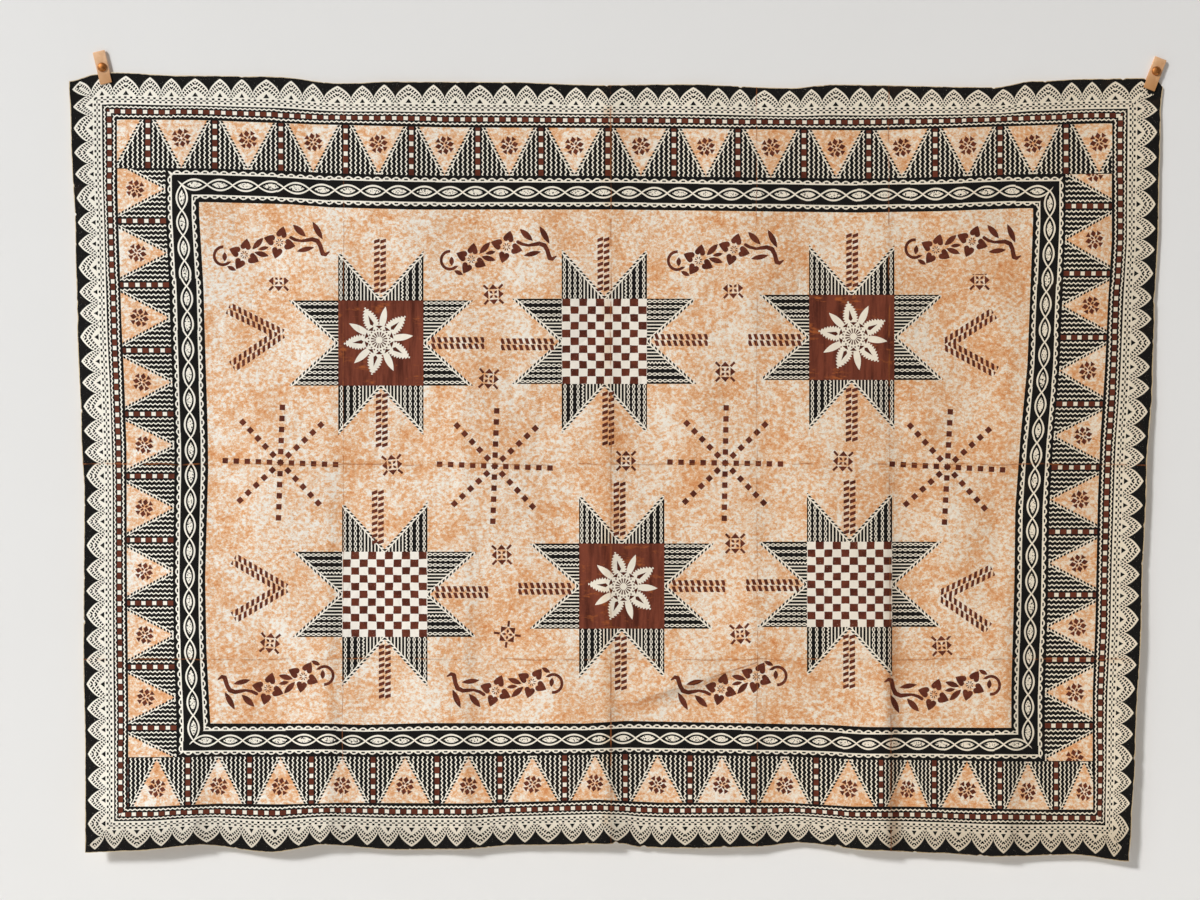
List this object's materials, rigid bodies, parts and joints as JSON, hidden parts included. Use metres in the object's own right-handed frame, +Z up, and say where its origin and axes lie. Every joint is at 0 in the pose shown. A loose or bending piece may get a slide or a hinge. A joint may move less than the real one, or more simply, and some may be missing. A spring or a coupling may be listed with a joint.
{
  "type": "tapa bark cloth with leather hanging tabs",
  "caption": "Wide printed bark cloth wall hanging with storage creases, held along its top edge by folded leather tabs with domed studs.",
  "frame": {"origin": "midway between the two studs, on the plane of the wall behind the cloth", "axes": "+X to the right of someone who faces the cloth, +Y into the wall, +Z up; the printed face looks along -Y"},
  "size_m": [2.52, 0.0442, 1.8591],
  "materials": {
    "bark_cloth": "printed beaten bark, matt, fibrous, with storage creases",
    "tan_leather": "smooth vegetable-tanned leather with raw edges",
    "antique_brass": "domed, polished, darkened with age"
  },
  "bodies": {
    "root": {"bark_cloth": "bark_cloth", "tab_left": "tan_leather", "tab_right": "tan_leather", "stud_left": "antique_brass", "stud_right": "antique_brass"}
  },
  "joints": []
}
